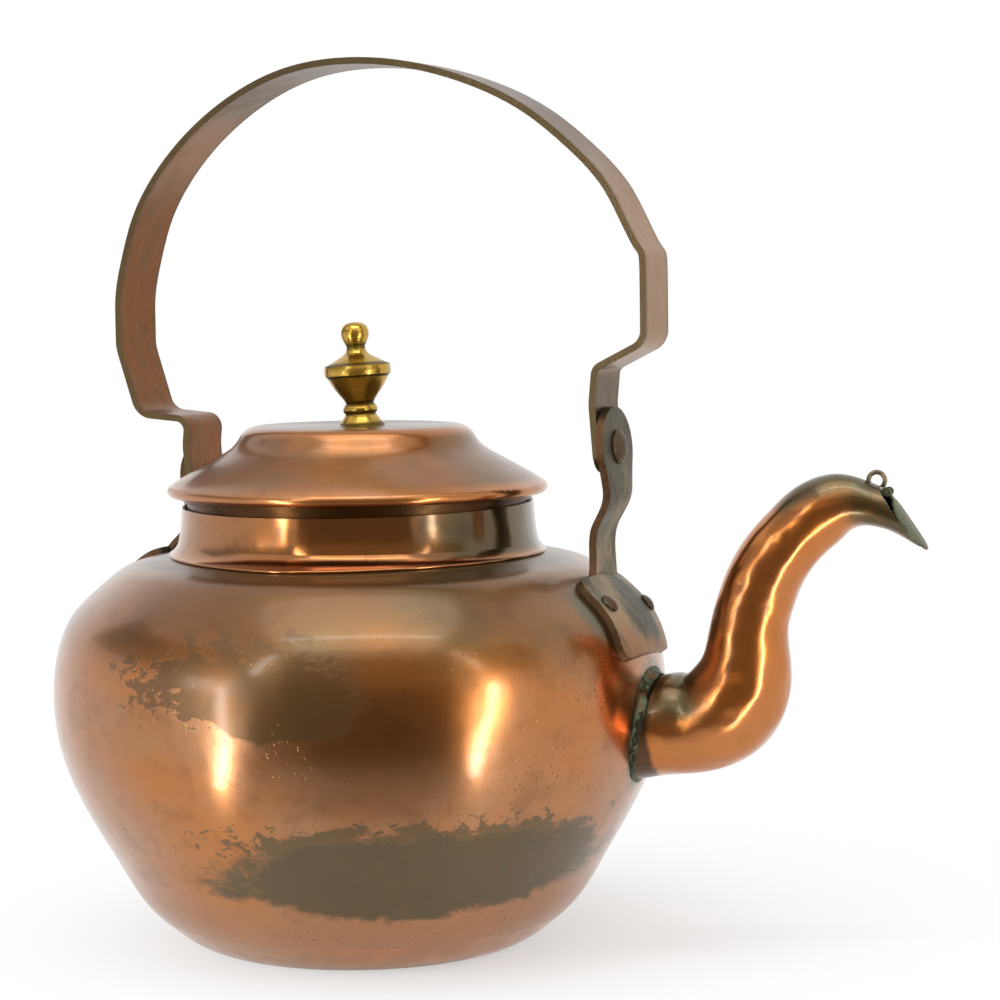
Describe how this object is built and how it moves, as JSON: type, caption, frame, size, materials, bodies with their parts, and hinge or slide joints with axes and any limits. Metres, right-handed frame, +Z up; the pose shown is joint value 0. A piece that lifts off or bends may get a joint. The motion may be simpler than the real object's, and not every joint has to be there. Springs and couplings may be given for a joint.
{
  "type": "copper water kettle",
  "caption": "Round-bellied hammered copper kettle with a lift-off lid, turned brass knob, curved spout with a hinged flap, and a swinging flat strap bail.",
  "frame": {"origin": "middle of the flat base, on the surface it stands on", "axes": "+Z up, +X towards the spout, +Y to the kettle's left when looking along the spout"},
  "size_m": [0.3164, 0.22, 0.3172],
  "materials": {
    "body_copper": "satin tarnished copper",
    "spout_copper": "worn bright copper",
    "lid_copper": "satin copper",
    "ear_copper": "dull browned copper",
    "bail_copper": "browned copper",
    "flap_copper": "green-grey tarnished copper",
    "knob_brass": "turned brass, worn satin",
    "dark_wire": "dark tinned wire"
  },
  "bodies": {
    "kettle": {"base_pan": "body_copper", "body_shell": "body_copper", "neck_collar": "body_copper", "spout_tube": "spout_copper", "spout_ring": "dark_wire", "flap_lugs": "spout_copper", "flap_pin": "dark_wire", "front_ear": "ear_copper", "front_ear_rivets": "ear_copper", "front_pivot_rivet": "bail_copper", "rear_ear": "ear_copper", "rear_ear_rivets": "ear_copper", "rear_pivot_rivet": "bail_copper"},
    "bail": {"bail_strap": "bail_copper"},
    "lid": {"lid_shell": "lid_copper", "lid_rim_wire": "dark_wire", "lid_flange": "lid_copper", "lid_knob": "knob_brass", "knob_washer": "lid_copper"},
    "flap": {"spout_flap": "flap_copper"}
  },
  "joints": [
    {"name": "bail_swing", "type": "hinge", "parent": "kettle", "child": "bail", "pos_m": [0.09621, 0.00513, 0.1783], "axis": [0.9932, -0.0869, 0.0777], "range_deg": [-108, 108]},
    {"name": "lid_lift", "type": "slide", "parent": "kettle", "child": "lid", "axis": [0, 0, 1], "range_m": [0, 0.06]},
    {"name": "flap_hinge", "type": "hinge", "parent": "kettle", "child": "flap", "pos_m": [0.19269, 0, 0.16395], "axis": [0, -1, 0], "range_deg": [0, 75]}
  ]
}
